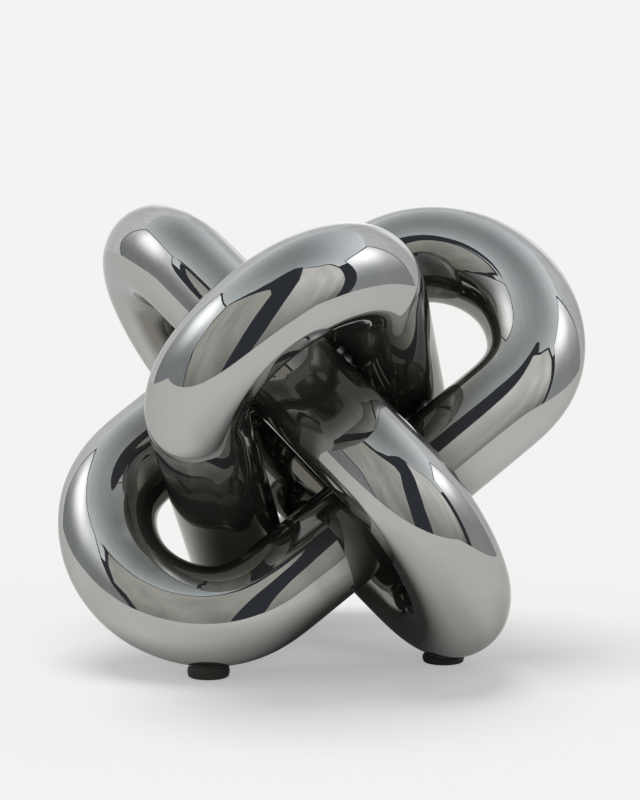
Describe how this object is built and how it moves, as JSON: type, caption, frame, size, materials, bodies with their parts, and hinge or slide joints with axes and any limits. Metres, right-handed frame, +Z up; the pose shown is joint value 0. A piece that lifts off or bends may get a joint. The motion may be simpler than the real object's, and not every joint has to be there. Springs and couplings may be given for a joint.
{
  "type": "knot sculpture",
  "caption": "Tabletop knot of equal elongated bar links passed through one another, in dark mirror-polished metal, standing on round pads under its lower bends.",
  "frame": {"origin": "on the table, under the middle of the box round the sculpture", "axes": "+Z up; -Y is the front, where the front link's arch is nearest; +X is to the right of a viewer in front"},
  "size_m": [0.1564, 0.1574, 0.1379],
  "materials": {
    "dark_nickel": "cast aluminium, mirror polished and plated in dark nickel",
    "dowel_steel": "ground",
    "pad_rubber": "matt, dark brown-black",
    "pad_glue": "acrylic adhesive film"
  },
  "bodies": {
    "root": {"left_link_upper_half": "dark_nickel", "left_link_lower_half": "dark_nickel", "right_link_upper_half": "dark_nickel", "right_link_lower_half": "dark_nickel", "front_link_upper_half": "dark_nickel", "front_link_lower_half": "dark_nickel", "left_link_top_weld": "dark_nickel", "left_link_under_weld": "dark_nickel", "right_link_top_weld": "dark_nickel", "right_link_under_weld": "dark_nickel", "front_link_top_weld": "dark_nickel", "front_link_under_weld": "dark_nickel", "back_tack": "dark_nickel", "crown_tack": "dark_nickel", "right_tack": "dark_nickel", "left_tack": "dark_nickel", "left_link_top_dowel": "dowel_steel", "left_link_under_dowel": "dowel_steel", "right_link_top_dowel": "dowel_steel", "right_link_under_dowel": "dowel_steel", "front_link_top_dowel": "dowel_steel", "front_link_under_dowel": "dowel_steel", "left_foot_pad": "pad_rubber", "right_foot_pad": "pad_rubber", "rear_foot_pad": "pad_rubber", "left_foot_glue": "pad_glue", "right_foot_glue": "pad_glue", "rear_foot_glue": "pad_glue"}
  },
  "joints": []
}
